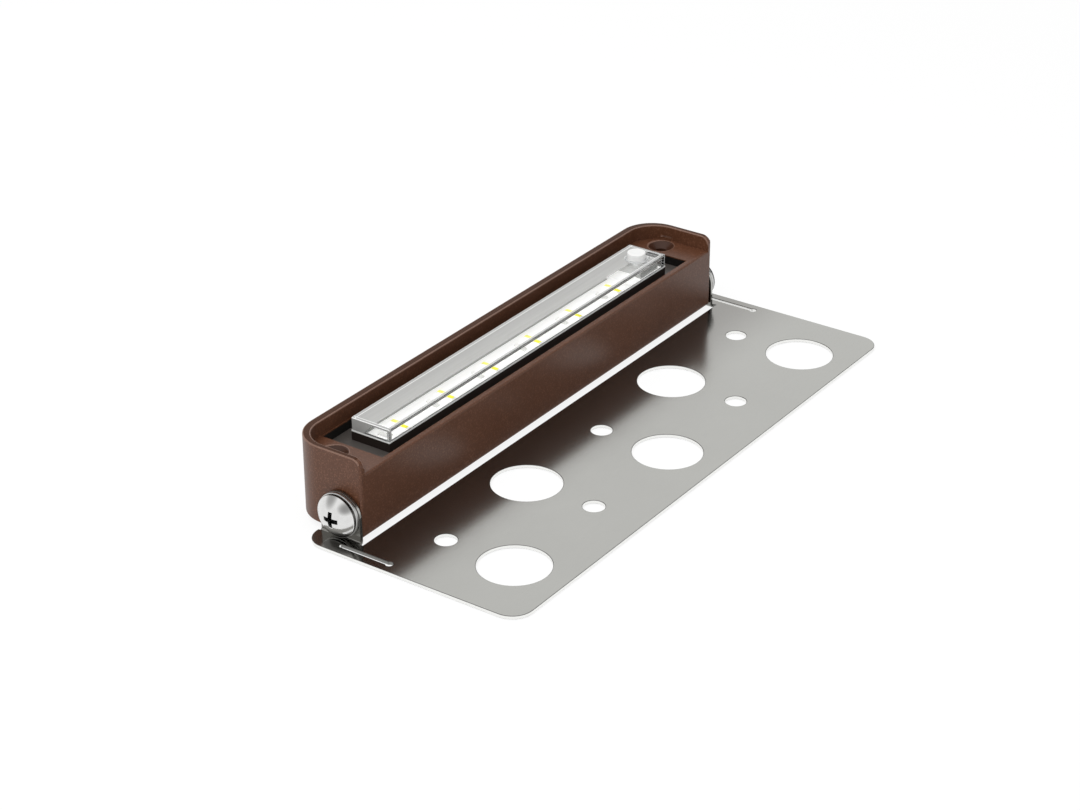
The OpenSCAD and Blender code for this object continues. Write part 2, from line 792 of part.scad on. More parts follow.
module cable_grommet() {
    color([0.06, 0.06, 0.06]) translate([inlet[0], inlet[1], 0]) difference() {
        union() {
            translate([0, 0, under_z]) cylinder(d = grommet_d, h = floor_t + flange_t + collar_h);
            translate([0, 0, hollow_z]) cylinder(d = flange_d, h = flange_t);
        }
        translate([0, 0, under_z - past]) cylinder(d = cable_hole_d, h = floor_t + flange_t + collar_h + 2 * past);
    }
}

mounting_plate();
housing();
pivot_screw_left();
pivot_screw_right();
head_washer_left();
head_washer_right();
side_washer_left();
side_washer_right();
potting();
lens_carrier();
carrier_screws();
lens_gasket();
lens();
led_board();
leds();
led_resistors();
reflector();
switch_board();
switch_frame();
tact_switch();
push_button();
button_seal();
driver_board();
inductor();
capacitor();
rectifier();
driver_chip();
surge_absorber();
lead_wires();
cable_grommet();
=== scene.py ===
import math

import bmesh
import bpy
import numpy as np
from mathutils import Matrix, Vector


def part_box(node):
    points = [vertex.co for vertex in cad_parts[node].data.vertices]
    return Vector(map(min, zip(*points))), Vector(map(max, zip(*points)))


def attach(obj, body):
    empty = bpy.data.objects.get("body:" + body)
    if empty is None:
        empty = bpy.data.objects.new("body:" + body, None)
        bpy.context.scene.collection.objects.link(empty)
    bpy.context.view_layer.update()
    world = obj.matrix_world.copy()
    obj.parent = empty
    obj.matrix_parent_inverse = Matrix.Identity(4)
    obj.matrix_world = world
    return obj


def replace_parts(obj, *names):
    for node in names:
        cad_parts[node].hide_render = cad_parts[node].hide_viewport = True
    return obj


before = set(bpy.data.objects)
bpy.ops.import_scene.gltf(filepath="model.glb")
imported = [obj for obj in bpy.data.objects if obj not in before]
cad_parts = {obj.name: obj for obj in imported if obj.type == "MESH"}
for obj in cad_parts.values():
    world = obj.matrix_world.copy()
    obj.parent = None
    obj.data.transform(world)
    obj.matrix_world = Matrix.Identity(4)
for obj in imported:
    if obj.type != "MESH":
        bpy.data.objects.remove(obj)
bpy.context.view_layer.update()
mm = 0.001


# shader maths: a wire is one output of a node, and sums of wires make the Math nodes
class Wire:
    def __init__(self, nodes, socket):
        self.nodes = nodes
        self.socket = socket

    def maths(self, operation, *values):
        return self.nodes.node("ShaderNodeMath", {"operation": operation}, dict(enumerate(values)))

    def other(self, name):  # another output of the same node
        return Wire(self.nodes, self.socket.node.outputs[name])

    def least(self, other): return self.maths("MINIMUM", self, other)
    def most(self, other): return self.maths("MAXIMUM", self, other)
    def __add__(self, other): return self.maths("ADD", self, other)
    def __radd__(self, other): return self.maths("ADD", other, self)
    def __sub__(self, other): return self.maths("SUBTRACT", self, other)
    def __rsub__(self, other): return self.maths("SUBTRACT", other, self)
    def __mul__(self, other): return self.maths("MULTIPLY", self, other)
    def __rmul__(self, other): return self.maths("MULTIPLY", other, self)
    def __truediv__(self, other): return self.maths("DIVIDE", self, other)
    def __rtruediv__(self, other): return self.maths("DIVIDE", other, self)
    def __pow__(self, other): return self.maths("POWER", self, other)
    def __abs__(self): return self.maths("ABSOLUTE", self)
    def __gt__(self, other): return self.maths("GREATER_THAN", self, other)
    def __lt__(self, other): return self.maths("LESS_THAN", self, other)


class Nodes:
    # the nodes of one material or of the world
    def __init__(self, tree):
        self.tree = tree

    # any node: its type, its settings, then the values or links of its sockets
    def node(self, kind, settings=None, sockets=None, output=0):
        made = self.tree.nodes.new(kind)
        for name, value in (settings or {}).items():
            setattr(made, name, value)
        for name, value in (sockets or {}).items():
            self.feed(made.inputs[name], value)
        return Wire(self, made.outputs[output])

    def feed(self, socket, value):
        if isinstance(value, Wire):
            self.tree.links.new(value.socket, socket)
        elif socket.type == "RGBA":
            socket.default_value = (*value, 1)
        else:
            socket.default_value = value

    def whiteRays(self):  # 1 or more for camera, glossy and see-through rays
        rays = self.node("ShaderNodeLightPath")
        mirrored = rays.other("Is Glossy Ray") + rays.other("Is Transmission Ray")
        return rays.other("Is Camera Ray").most(mirrored)


class Paint(Nodes):
    # one material, made node by node, with its Principled shader ready
    def __init__(self, name, **constants):
        self.material = bpy.data.materials.new(name)
        self.material.use_nodes = True
        super().__init__(self.material.node_tree)
        self.shader = self.tree.nodes["Principled BSDF"]
        self.set(**constants)

    def set(self, **values):
        for name, value in values.items():
            self.feed(self.shader.inputs[name.replace("_", " ")], value)
        return self

    def blend(self, share, second):
        # the Principled shader gives way to a second one by a share, and the result becomes the surface
        first = Wire(self, self.shader.outputs[0])
        return self.surface(self.node("ShaderNodeMixShader", {}, {0: share, 1: first, 2: second}))

    def surface(self, wire):
        self.feed(self.tree.nodes["Material Output"].inputs["Surface"], wire)
        return wire

    def place(self, stretch=(1, 1, 1)):
        where = self.node("ShaderNodeTexCoord", output="Object")
        return self.node("ShaderNodeMapping", {}, {"Vector": where, "Scale": stretch})

    def axes(self, where):
        parts = self.node("ShaderNodeSeparateXYZ", {}, {0: where})
        return [parts.other(axis) for axis in "XYZ"]

    def noise(self, where, scale, detail=2.0, roughness=0.5):
        return self.node("ShaderNodeTexNoise", {}, {
            "Vector": where, "Scale": scale, "Detail": detail, "Roughness": roughness})

    def spread(self, wire, low, high, outLow=0.0, outHigh=1.0):
        return self.node("ShaderNodeMapRange", {"interpolation_type": "SMOOTHSTEP"}, {
            "Value": wire, "From Min": low, "From Max": high, "To Min": outLow, "To Max": outHigh})

    def mark(self, name):  # a value that the mesh carries itself
        return self.node("ShaderNodeAttribute", {"attribute_name": name}, output=2)

    def mix(self, factor, first, second):
        return self.node("ShaderNodeMix", {"data_type": "RGBA"}, {0: factor, 6: first, 7: second}, output=2)

    def bump(self, height, strength, distance):
        return self.set(Normal=self.node("ShaderNodeBump", {}, {
            "Height": height, "Strength": strength, "Distance": distance}))


# camera at the photograph's angle
photoCamera = {
    "azimuth": -54.861,
    "elevation": 27.991,
    "roll": -0.19,
    "lens": 85.23,
    "place": (-530.44, -354.01, 347.35),
}


def makeCamera(setup):
    # back is the unit vector from the object to the camera: (sin a cos e, -cos a cos e, sin e)
    a, e, r = (math.radians(setup[k]) for k in ("azimuth", "elevation", "roll"))
    back = Vector((math.sin(a) * math.cos(e), -math.cos(a) * math.cos(e), math.sin(e)))
    side = Vector((math.cos(a), math.sin(a), 0))
    up = back.cross(side)
    right = side * math.cos(r) + up * math.sin(r)
    above = up * math.cos(r) - side * math.sin(r)
    data = bpy.data.cameras.new("photoCamera")
    data.lens = setup["lens"]
    data.sensor_width = 36
    data.clip_start = 0.01
    camera = bpy.data.objects.new("photoCamera", data)
    turn = Matrix((right, above, back)).transposed().to_4x4()
    camera.matrix_world = Matrix.Translation(Vector(setup["place"]) * mm) @ turn
    bpy.context.scene.collection.objects.link(camera)
    bpy.context.scene.camera = camera


makeCamera(photoCamera)
print("camera placed")


# helpers that turn arrays into pieces
def addPiece(name, mesh, body, paint, smoothAngle=30):
    piece = bpy.data.objects.new(name, mesh)
    bpy.context.scene.collection.objects.link(piece)
    mesh.materials.clear()
    mesh.materials.append(paint.material)
    mesh.shade_smooth()
    mesh.set_sharp_from_angle(angle=math.radians(smoothAngle))
    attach(piece, body)
    return piece


def closedMesh(name, points, faces, mark=None, join=True):
    # points in mm; mark is an attribute's name and its value at each point. Unless join is off, doubles
    # are joined and faces without area dropped; all normals are turned outwards.
    mesh = bpy.data.meshes.new(name)
    mesh.from_pydata((np.asarray(points, float) * mm).tolist(), [], faces)
    if mark:
        values = mesh.attributes.new(mark[0], "FLOAT", "POINT").data
        values.foreach_set("value", mark[1].astype(np.float32))
    work = bmesh.new()
    work.from_mesh(mesh)
    if join:
        bmesh.ops.remove_doubles(work, verts=work.verts, dist=1e-6)
        bmesh.ops.dissolve_degenerate(work, edges=work.edges, dist=1e-7)
    bmesh.ops.recalc_face_normals(work, faces=work.faces)
    work.to_mesh(mesh)
    work.free()
    mesh.update()
    return mesh


def gridFaces(rows, columns, closed=False):
    # quads of a grid whose point (row, column) has number row * columns + column
    i = np.arange(rows - 1)[:, None]
    j = np.arange(columns if closed else columns - 1)[None, :]
    k = (j + 1) % columns
    quads = np.stack([i * columns + j, i * columns + k, (i + 1) * columns + k, (i + 1) * columns + j], -1)
    return quads.reshape(-1, 4)


def roundCorners(profile, radii, steps=4):
    # each inner corner of a polyline becomes an arc that starts its radius before it and ends as far after
    # it, as a quadratic curve with the corner as its middle handle
    p = np.asarray(profile, float)
    out = [p[0]]
    t = np.linspace(0, 1, steps + 1)[:, None]
    for i in range(1, len(p) - 1):
        before, after = p[i - 1] - p[i], p[i + 1] - p[i]
        lengthBefore, lengthAfter = np.linalg.norm(before), np.linalg.norm(after)
        reach = min(radii[i], lengthBefore * 0.49, lengthAfter * 0.49)
        start, end = p[i] + before / lengthBefore * reach, p[i] + after / lengthAfter * reach
        out += list((1 - t) ** 2 * start + 2 * t * (1 - t) * p[i] + t ** 2 * end)
    out.append(p[-1])
    return np.array(out)


def lathe(profile, centre, axis="z", count=128):
    # a profile of (radius, height) turned round an axis: x = r cos t, y = r sin t, height along the axis.
    # A profile that starts or ends on the axis is closed there once its doubles are joined.
    profile = np.asarray(profile, float)
    t = np.linspace(0, 2 * math.pi, count, endpoint=False)
    r, h = profile[:, 0][:, None], profile[:, 1][:, None]
    across, along, height = r * np.cos(t), r * np.sin(t), h + 0 * t
    order = {"z": (across, along, height), "x": (height, across, along)}[axis]
    points = np.stack(order, -1).reshape(-1, 3) + np.asarray(centre, float)
    return points, gridFaces(len(profile), count, closed=True)


# powder coat of the head
coatLook = {
    "colour": (0.072, 0.0265, 0.0120),
    "speck": (0.160, 0.070, 0.040),
    # the rim's level top takes a darker copy of the coat: painted shade
    "rim": (0.046, 0.0185, 0.0095),
    "shadedTopSpeck": (0.085, 0.038, 0.022),
    # the rounded edges take a lighter copy of the coat: painted highlight
    "edge": (0.150, 0.080, 0.056),
    "edgeHighlightSpeck": (0.240, 0.150, 0.115),
    "roughness": 0.28,
    "refraction": 1.38,
    "shadedTopRefraction": 1.15,
    "grain": 2300,
    "peel": 800,
    "blotch": 40,
    "speckFrom": 0.50,
    "speckTo": 0.66,
    "speckShare": 0.6,
    "blotchShare": 0.15,
    "grainDepth": 0.00006,
    "hollow": {"half": 74.83, "front": 17.22, "back": 37.73, "floor": 3.4, "top": 20.0},
    "hollowColour": (0.006, 0.0055, 0.005),
    "hole": {"x": 79.8, "y": 29.3, "radius": 4.1, "top": 20.26},
    # painted shade in the countersunk tray holes
    "holeShade": (0.044, 0.017, 0.009),
}


def bronzeCoat(name="bronzeCoat", colour=coatLook["colour"], speck=coatLook["speck"],
               refraction=coatLook["refraction"]):
    # fine orange peel and specks over slow blotches; the hollow's walls stay black, the tray holes are
    # darker with painted shade
    look = coatLook
    p = Paint(name, Metallic=0.0, IOR=refraction)
    where = p.place()
    grain = p.noise(where, look["grain"], 3, 0.6)
    peel = p.noise(where, look["peel"])
    blotch = p.noise(where, look["blotch"])
    specks = p.spread(grain, look["speckFrom"], look["speckTo"])
    speckled = p.mix(specks * look["speckShare"] + blotch * look["blotchShare"], colour, speck)
    x, y, z = p.axes(where)
    h = look["hollow"]
    inside = (abs(x) < h["half"] * mm) * (y > h["front"] * mm) * (y < h["back"] * mm)
    inside = inside * (z < h["top"] * mm) * (z > h["floor"] * mm)
    o = look["hole"]
    away = (abs(x) - o["x"] * mm) ** 2 + (y - o["y"] * mm) ** 2
    sunk = (away < (o["radius"] * mm) ** 2) * (z < o["top"] * mm)
    outer = p.mix(sunk, speckled, look["holeShade"])
    p.set(Base_Color=p.mix(inside, outer, look["hollowColour"]))
    p.set(Roughness=look["roughness"] + grain * 0.1 + blotch * 0.06 + inside * 0.1)
    return p.bump(grain * 0.7 + peel * 0.8, 0.5, look["grainDepth"])


# satin sheet of the plate
plateLook = {
    "colour": (0.50, 0.50, 0.475),
    "dull": (0.42, 0.42, 0.40),
    "cut": (0.88, 0.88, 0.86),
    # the rounded edges take a darker copy of the steel: painted shade
    "edgeShadeDull": (0.06, 0.06, 0.057),
    "edgeShade": (0.12, 0.12, 0.114),
    # the cut faces inside the slits are darker: painted shade
    "slit": {"from": 84.5, "to": 91.0, "behind": 0.0, "colour": (0.22, 0.22, 0.21)},
    # painted shade on the top towards the head, for the head's dark reflection
    "near": {"from": -14.0, "to": 13.0, "share": 0.5, "colour": (0.17, 0.155, 0.145)},
    # painted shade on the ears' upright faces
    "ear": {"from": 0.3, "to": 0.8, "share": 0.65, "colour": (0.13, 0.125, 0.115)},
    "sheetTop": 1.06,
    "roughness": 0.11,
    "lines": 3800,
    "stretch": (0.05, 1, 1),
    "cloud": 32,
    "grain": 3000,
}


def satinStainless(name="satinStainless", colour=plateLook["colour"], dull=plateLook["dull"]):
    # cold-rolled sheet: faint rolling lines along the length under a fine grain, and dull clouds. The
    # punched faces of its edges and holes are bright, except in the slits, which are darker with painted
    # shade; its top has painted shade towards the head, standing in for the head's dark reflection, and the
    # ears' upright faces have painted shade too
    look = plateLook
    p = Paint(name, Metallic=1.0)
    where = p.place()
    lines = p.noise(p.place(look["stretch"]), look["lines"], 3, 0.55)
    cloud = p.noise(where, look["cloud"], 3)
    grain = p.noise(where, look["grain"])
    x, y, z = p.axes(where)
    facingX, _, facingZ = p.axes(p.node("ShaderNodeTexCoord", output="Normal"))
    sheet = p.mix(lines * 0.35 + grain * 0.2 + cloud * 0.45, colour, dull)
    n = look["near"]
    near = p.spread(y, n["from"] * mm, n["to"] * mm, 0.0, n["share"]) * (facingZ > 0.5)
    e = look["ear"]
    ear = p.spread(abs(facingX), e["from"], e["to"]) * (z > look["sheetTop"] * mm) * e["share"]
    sheet = p.mix(ear, p.mix(near, sheet, n["colour"]), e["colour"])
    s = look["slit"]
    slit = (abs(x) > s["from"] * mm) * (abs(x) < s["to"] * mm) * (y > s["behind"] * mm)
    cut = (abs(facingZ) < 0.5) * (z < look["sheetTop"] * mm)
    p.set(Base_Color=p.mix(cut, sheet, p.mix(slit, look["cut"], s["colour"])))
    p.set(Roughness=look["roughness"] + lines * 0.05 + cloud * 0.08 + cut * 0.1)
    return p.bump(lines * 0.8 + grain, 0.2, 0.000012)


# screw steel with painted reflections; each patch is its place across and above the axis, its half width and
# height, and its share of painted shade, which is a painted highlight where it is below 0
steelLook = {
    "colour": (0.80, 0.80, 0.79),
    "cloud": (0.66, 0.66, 0.65),
    "shade": (0.055, 0.052, 0.048),
    # the cross recess is painted near black: painted shade
    "cross": (0.012, 0.012, 0.012),
    "axis": (21.85, 7.8),
    "reflectionPatches": [(0.8, 5.8, 1.9, 3.0, 0.62), (-3.9, 3.9, 2.1, 1.7, 0.7), (-3.4, -3.3, 1.6, 0.3, -0.7)],
    "patchEdge": 1.5,
    # painted shade towards the foot and on the head's side
    "low": (-3.9, -2.3),
    "lowShare": 0.75,
    "side": 6.13,
    "sideShare": 0.9,
    "roughness": 0.13,
}


def polishedSteel():
    # bright steel with faint clouds and painted reflections: painted shade in soft patches, on its side and
    # towards its foot, as a dome mirrors a dark room, and a painted bright streak; the cross recess is told
    # apart by the mesh's own attribute and painted near black as shade
    look = steelLook
    p = Paint("polishedSteel", Metallic=1.0)
    where = p.place()
    cloud = p.noise(where, 400, 3)
    recess = p.mark("recess")
    _, y, z = p.axes(where)
    across, up = y / mm - look["axis"][0], z / mm - look["axis"][1]
    shade = p.spread(up + cloud * 0.3, *look["low"], 1.0, 0.0) * look["lowShare"]
    shade = shade + (across ** 2 + up ** 2 > look["side"] ** 2) * look["sideShare"]
    for a, u, wide, high, share in look["reflectionPatches"]:
        reach = ((across - a) / wide) ** 2 + ((up - u) / high) ** 2
        shade = shade + p.spread(reach + cloud * 0.3, 0.0, look["patchEdge"], share, 0.0)
    steel = p.mix(shade, p.mix(cloud, look["colour"], look["cloud"]), look["shade"])
    p.set(Base_Color=p.mix(recess, steel, look["cross"]))
    p.set(Roughness=look["roughness"] + cloud * 0.08 + recess * 0.3)
    return p.bump(p.noise(where, 3000), 0.05, 0.00002)


blackLook = {"tones": ((0.013, 0.0085, 0.0068), (0.020, 0.0135, 0.011)), "cloud": 120, "grain": 2400,
             "roughness": 0.42, "shine": 0.3}


def blackPlastic():
    look = blackLook
    p = Paint("blackPlastic", Specular_IOR_Level=look["shine"])
    where = p.place()
    grain = p.noise(where, look["grain"])
    p.set(Base_Color=p.mix(p.noise(where, look["cloud"]), *look["tones"]))
    p.set(Roughness=look["roughness"] + grain * 0.16)
    return p.bump(grain, 0.2, 0.00002)


resinLook = {"tones": ((0.046, 0.041, 0.037), (0.070, 0.062, 0.056)), "swell": 90, "grain": 1800,
             "roughness": 0.3}


def pottingResin():
    look = resinLook
    p = Paint("pottingResin")
    where = p.place()
    swell = p.noise(where, look["swell"])
    grain = p.noise(where, look["grain"])
    p.set(Base_Color=p.mix(swell, *look["tones"]), Roughness=look["roughness"] + swell * 0.2)
    return p.bump(swell * 0.8 + grain * 0.15, 0.25, 0.0002)


# cast acrylic of the lens, with painted light and shade; lengths in mm from its front, its ends or its top
lensLook = {
    "tint": (1.0, 1.0, 0.998),
    "tintLow": (0.985, 0.99, 0.985),
    "refraction": 1.49,
    "roughness": 0.012,
    "cloud": 300,
    "smear": 160,
    "swell": 70,
    "thin": 0.01,
    # painted light: a pale tone in streaks over the thick back wall
    "backWallTone": (0.41, 0.41, 0.396),
    "streak": (0.49, 0.49, 0.475),
    "streaks": 1500,
    "pull": (0.03, 1, 1),
    # painted grey where the light runs along inside the roof and the walls
    "grey": (0.42, 0.425, 0.415),
    # painted highlight for the bright lines and the rounded edges
    "highlight": (0.95, 0.955, 0.95),
    "skin": 0.05,
    # where the painted tones lie: the back wall, the roof and wall strips, and the bright lines
    "wall": {"from": 7.6, "lean": 0.9, "edge": 0.1, "share": 0.74},
    "slab": {"roof": 0.95, "strip": 0.4, "bar": 0.8, "share": 0.75},
    "line": {"inset": 0.1, "back": 11.8, "width": 0.09, "edge": 0.05, "share": 0.75},
    "edgeHighlightShare": 0.9,
}


def lensShare(p, where):
    # how much of the clear lens gives way to an opaque tone of painted light and shade at each place, and to
    # which tone
    look = lensLook
    wall, slab, line = look["wall"], look["slab"], look["line"]
    low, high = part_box("lens")
    x, y, z = p.axes(where)
    depth, top = y - low[1], high[2] - z
    ends = (x - low[0]).least(high[0] - x)
    inwards = depth.least(ends)
    roof = top < look["skin"] * mm
    side = (inwards < look["skin"] * mm) * (1 - roof)
    backEdge = high[1] - low[1] - wall["from"] * mm
    back = p.spread(depth - top * wall["lean"], backEdge, backEdge + wall["edge"] * mm)
    border = (top < slab["strip"] * mm).most(depth.most(ends) < slab["bar"] * mm)
    grey = (roof * (inwards < slab["roof"] * mm) + side * border) * (1 - back)

    def lineAt(wire, place):
        width = line["width"] * mm
        return p.spread(abs(wire - place * mm), width, width + line["edge"] * mm, 1.0, 0.0)

    lines = roof * lineAt(inwards, slab["roof"] + line["inset"]).most(lineAt(depth, line["back"]))
    share = (grey * slab["share"]).most(lines * line["share"]).most(look["thin"] + back * wall["share"])
    streaks = p.mix(p.noise(p.place(look["pull"]), look["streaks"]), look["backWallTone"], look["streak"])
    return share, p.mix(lines, p.mix(grey, streaks, look["grey"]), look["highlight"])


def clearLens(name="clearLens", edge=False):
    # it bends light, and has painted light and shade: clear over the board, a painted pale tone over its
    # thick back wall, painted grey where the light runs along inside the roof and the walls, with painted
    # bright lines beside that and along the back; the rounded edges are a painted highlight nearly all over
    look = lensLook
    p = Paint(name, IOR=look["refraction"], Transmission_Weight=1.0)
    where = p.place()
    p.set(Base_Color=p.mix(p.noise(where, look["cloud"]), look["tint"], look["tintLow"]))
    smear = p.spread(p.noise(p.place((0.5, 1, 1)), look["smear"], 4, 0.6), 0.5, 0.8)
    p.set(Roughness=look["roughness"] + smear * 0.03)
    p.bump(p.noise(where, look["swell"]), 0.04, 0.0002)
    if edge:
        share, colour = look["edgeHighlightShare"] + smear * 0.05, look["highlight"]
    else:
        share, colour = lensShare(p, where)
    p.blend(share, p.node("ShaderNodeBsdfPrincipled", {}, {"Base Color": colour, "Roughness": 0.2}))
    return p


sealLook = {"tones": ((0.62, 0.64, 0.64), (0.74, 0.75, 0.75)), "grain": 1500, "roughness": 0.25,
            "alpha": 0.55}


def clearRubber():
    look = sealLook
    p = Paint("clearRubber", Roughness=look["roughness"])
    grain = p.noise(p.place(), look["grain"])
    return p.set(Base_Color=p.mix(grain, *look["tones"]), Alpha=look["alpha"] + grain * 0.1)


# the diodes' painted glow
phosphorLook = {"tones": ((0.96, 0.94, 0.05), (0.93, 0.89, 0.035)), "body": (0.88, 0.88, 0.86),
                "grain": 4000, "roughness": 0.35, "glow": 0.5}


def yellowPhosphor():
    # the diode's white body and its yellow window are told apart by the mesh's own attribute; both have a
    # painted glow
    look = phosphorLook
    p = Paint("yellowPhosphor", Emission_Strength=look["glow"])
    grain = p.noise(p.place(), look["grain"])
    tone = p.mix(p.mark("window"), look["body"], p.mix(grain, *look["tones"]))
    return p.set(Base_Color=tone, Emission_Color=tone, Roughness=look["roughness"] + grain * 0.1)


# plain finishes: two close tones, the scale and detail of the noise between them, the roughness and what
# the noise adds to it, the strength and depth of its bump, and constants
plainLooks = {
    "washerSteel": {"tones": ((0.62, 0.62, 0.61), (0.45, 0.45, 0.44)), "noise": (900, 3),
                    "roughness": (0.22, 0.15), "bump": (0.1, 0.00002), "constants": {"Metallic": 1.0}},
    "paleRubber": {"tones": ((0.78, 0.785, 0.77), (0.86, 0.865, 0.85)), "noise": (1500, 3),
                   "roughness": (0.45, 0.15), "bump": (0.15, 0.00002)},
    "blackRubber": {"tones": ((0.012, 0.012, 0.012), (0.024, 0.024, 0.024)), "noise": (1700, 3),
                    "roughness": (0.6, 0.15), "bump": (0.2, 0.00003)},
    # the board's white mask has a painted glow
    "glowingWhiteMask": {"tones": ((0.86, 0.86, 0.855), (0.90, 0.90, 0.895)), "noise": (1300, 2),
                  "roughness": (0.32, 0.1), "bump": (0.06, 0.00002),
                  "constants": {"Emission_Color": (1.0, 1.0, 0.99), "Emission_Strength": 0.56}},
    "lightGrey": {"tones": ((0.52, 0.525, 0.515), (0.60, 0.605, 0.59)), "noise": (1100, 2),
                  "roughness": (0.4, 0.1), "bump": (0.05, 0.00002)},
    # the chips have a painted glow
    "glowingPaleChip": {"tones": ((0.72, 0.72, 0.705), (0.78, 0.78, 0.765)), "noise": (1100, 2),
                 "roughness": (0.4, 0.1), "bump": (0.05, 0.00002),
                 "constants": {"Emission_Color": (1.0, 1.0, 0.98), "Emission_Strength": 0.26}},
    # the strip has a faint painted glow
    "glowingPaleStrip": {"tones": ((0.52, 0.525, 0.515), (0.60, 0.605, 0.59)), "noise": (1100, 2),
                  "roughness": (0.4, 0.1), "bump": (0.05, 0.00002),
                  "constants": {"Emission_Color": (1.0, 1.0, 0.98), "Emission_Strength": 0.04}},
    "whiteButton": {"tones": ((0.72, 0.72, 0.71), (0.76, 0.76, 0.75)), "noise": (1500, 2),
                    "roughness": (0.28, 0.08), "bump": (0.05, 0.00002)},
    "greenMask": {"tones": ((0.015, 0.085, 0.035), (0.025, 0.13, 0.055)), "noise": (700, 2),
                  "roughness": (0.35, 0.1)},
    "copperWire": {"tones": ((0.45, 0.03, 0.02), (0.55, 0.05, 0.03)), "noise": (900, 2),
                   "roughness": (0.4, 0.1)},
}


def plainFinish(name):
    look = plainLooks[name]
    p = Paint(name, **look.get("constants", {}))
    fine = p.noise(p.place(), *look["noise"])
    base, vary = look["roughness"]
    p.set(Base_Color=p.mix(fine, *look["tones"]), Roughness=base + fine * vary)
    if "bump" in look:
        p.bump(fine, *look["bump"])
    return p


plain = {name: plainFinish(name) for name in plainLooks}
coat = bronzeCoat()
# a lighter copy of the coat for the rounded edges: painted highlight
coatEdgeHighlight = bronzeCoat("bronzeEdgeHighlight", coatLook["edge"], coatLook["edgeHighlightSpeck"])
# a darker copy of the coat for the rim's level top: painted shade
coatShadedTop = bronzeCoat("bronzeShadedTop", coatLook["rim"], coatLook["shadedTopSpeck"], coatLook["shadedTopRefraction"])
stainless = satinStainless()
# a darker copy of the steel for the plate's rounded edges: painted shade
stainlessEdgeShade = satinStainless("stainlessEdgeShade", plateLook["edgeShade"], plateLook["edgeShadeDull"])
polished = polishedSteel()
black = blackPlastic()
resin = pottingResin()
lensClear = clearLens()
# the lens's rounded edges: painted highlight
lensEdgeHighlight = clearLens("clearLensEdge", edge=True)
seal = clearRubber()
phosphor = yellowPhosphor()
nodePaint = {
    "side_washer_left": black,
    "side_washer_right": black,
    "potting": resin,
    "lens_carrier": black,
    "carrier_screws": polished,
    "lens_gasket": plain["paleRubber"],
    "led_board": plain["glowingWhiteMask"],
    "led_resistors": plain["glowingPaleChip"],
    "reflector": plain["glowingPaleStrip"],
    "switch_board": plain["glowingWhiteMask"],
    "switch_frame": plain["lightGrey"],
    "tact_switch": black,
    "driver_board": plain["greenMask"],
    "inductor": black,
    "capacitor": black,
    "rectifier": black,
    "driver_chip": black,
    "surge_absorber": plain["lightGrey"],
    "lead_wires": plain["copperWire"],
    "cable_grommet": plain["blackRubber"],
}
for name, paint in nodePaint.items():
    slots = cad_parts[name].data.materials
    slots.clear()
    slots.append(paint.material)
print("finishes made")


# plate, head and lens: the CAD surfaces with rounded edges; the head's heights pick its seen edges
plateEdges = {"width": 0.17, "segments": 2}
headEdges = {"width": 0.32, "segments": 3, "foot": 1.65, "tray": 20.3, "rim": 20.35, "front": 15.55,
             "shadedTopFrom": 24.5}
lensEdges = {"width": 0.16, "segments": 2}


def roundedCopy(node, name, body, paint, edges, edgePaint, shadedTopPaint=None, chosen=None):
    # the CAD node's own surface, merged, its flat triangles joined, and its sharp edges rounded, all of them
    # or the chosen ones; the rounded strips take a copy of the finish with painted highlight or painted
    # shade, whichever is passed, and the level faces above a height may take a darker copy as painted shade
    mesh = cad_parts[node].data.copy()
    mesh.name = name
    work = bmesh.new()
    work.from_mesh(mesh)
    bmesh.ops.remove_doubles(work, verts=work.verts, dist=2e-6)
    bmesh.ops.dissolve_limit(work, angle_limit=math.radians(0.3), verts=work.verts, edges=work.edges)
    if chosen:
        weight = work.edges.layers.float.new("bevel_weight_edge")
        for edge in work.edges:
            edge[weight] = float(len(edge.link_faces) == 2 and chosen(edge))
    work.to_mesh(mesh)
    work.free()
    if "custom_normal" in mesh.attributes:
        mesh.attributes.remove(mesh.attributes["custom_normal"])
    piece = addPiece(name, mesh, body, paint, smoothAngle=25)
    mesh.materials.append(edgePaint.material)
    bevel = piece.modifiers.new("roundedEdges", "BEVEL")
    bevel.width = edges["width"] * mm
    bevel.segments = edges["segments"]
    bevel.limit_method = "WEIGHT" if chosen else "ANGLE"
    bevel.angle_limit = math.radians(40)
    bevel.use_clamp_overlap = False
    bevel.harden_normals = True
    bevel.material = 1
    if shadedTopPaint:
        mesh.materials.append(shadedTopPaint.material)
        for face in mesh.polygons:
            if face.normal.z > 0.9 and face.center.z > edges["shadedTopFrom"] * mm:
                face.material_index = 2
    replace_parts(piece, node)


def seenEdges(edge):
    # the head's outer right-angled edges at its foot, along the front wall's top and along the rim, and
    # the round edges of the countersinks
    heights = [v.co.z for v in edge.verts]
    fromTray = max(abs(h - headEdges["tray"] * mm) for h in heights)
    front = max(v.co.y for v in edge.verts) < headEdges["front"] * mm
    foot = max(heights) < headEdges["foot"] * mm
    lip = front and fromTray < 0.05 * mm
    rim = min(heights) > headEdges["rim"] * mm and not front
    bend = math.degrees(edge.calc_face_angle())
    sink = 35 < bend < 55 and fromTray < 0.02 * mm
    return edge.is_convex and (abs(bend - 90) < 10 and (foot or lip or rim) or sink)


# the plate's rounded strips take painted shade, the head's a painted highlight with painted shade on its rim
# top, and the lens's a painted highlight
roundedCopy("mounting_plate", "stainlessPlate", "bracket", stainless, plateEdges, stainlessEdgeShade)
roundedCopy("housing", "castHead", "lamp", coat, headEdges, coatEdgeHighlight, coatShadedTop, seenEdges)
roundedCopy("lens", "lensCover", "lamp", lensClear, lensEdges, lensEdgeHighlight)
print("plate, head and lens rounded")


